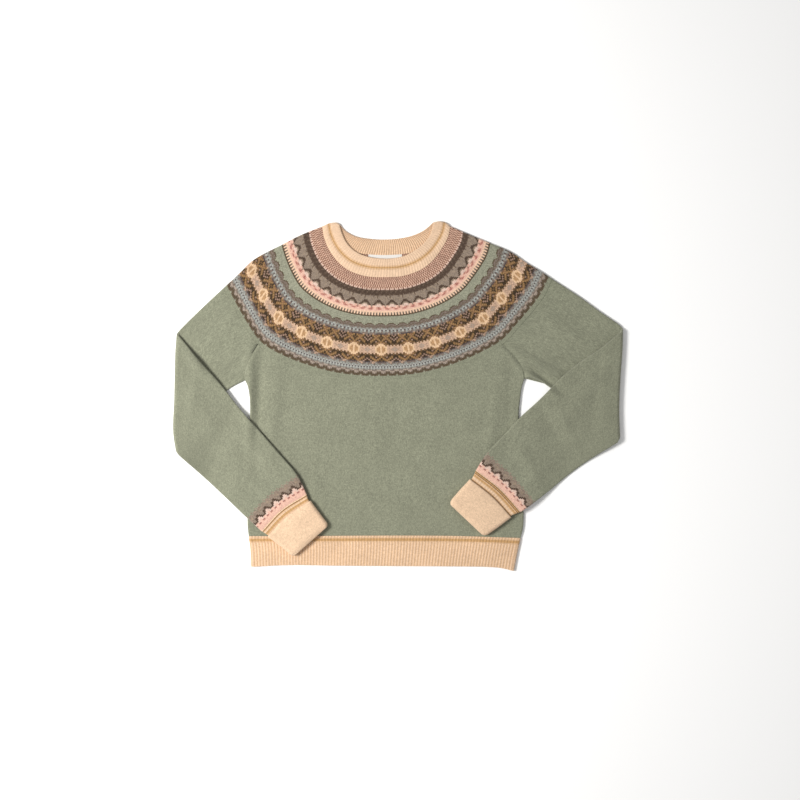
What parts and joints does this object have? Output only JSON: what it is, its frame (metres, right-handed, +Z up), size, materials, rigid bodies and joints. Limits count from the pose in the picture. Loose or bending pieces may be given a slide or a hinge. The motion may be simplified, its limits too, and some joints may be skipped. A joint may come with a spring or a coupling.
{
  "type": "fair isle sweater",
  "caption": "Long-sleeved round-neck knitted sweater with a patterned circular yoke, laid flat with its sleeves folded in at the elbow and its ribbed cuffs turned back.",
  "frame": {"origin": "centre of the footprint of the laid garment, on the surface that it rests on", "axes": "+X across the garment towards the wearer's left sleeve, +Y from the hem towards the neck, +Z up from the surface through the front"},
  "size_m": [0.7501, 0.5835, 0.0178],
  "materials": {
    "jersey": "heathered sage green wool jersey, soft nap",
    "fair_isle": "stranded fair isle knit in muted rose, grey, cream, brown and blue-grey wool",
    "rib": "oatmeal wool rib with a mustard stripe",
    "label": "plain white woven label, bare"
  },
  "bodies": {
    "root": {"front": "jersey", "back": "jersey", "yoke": "fair_isle", "neckband": "rib", "hem_rib": "rib", "sleeve_left": "jersey", "sleeve_right": "jersey", "cuff_left": "rib", "cuff_right": "rib", "label": "label"}
  },
  "joints": []
}
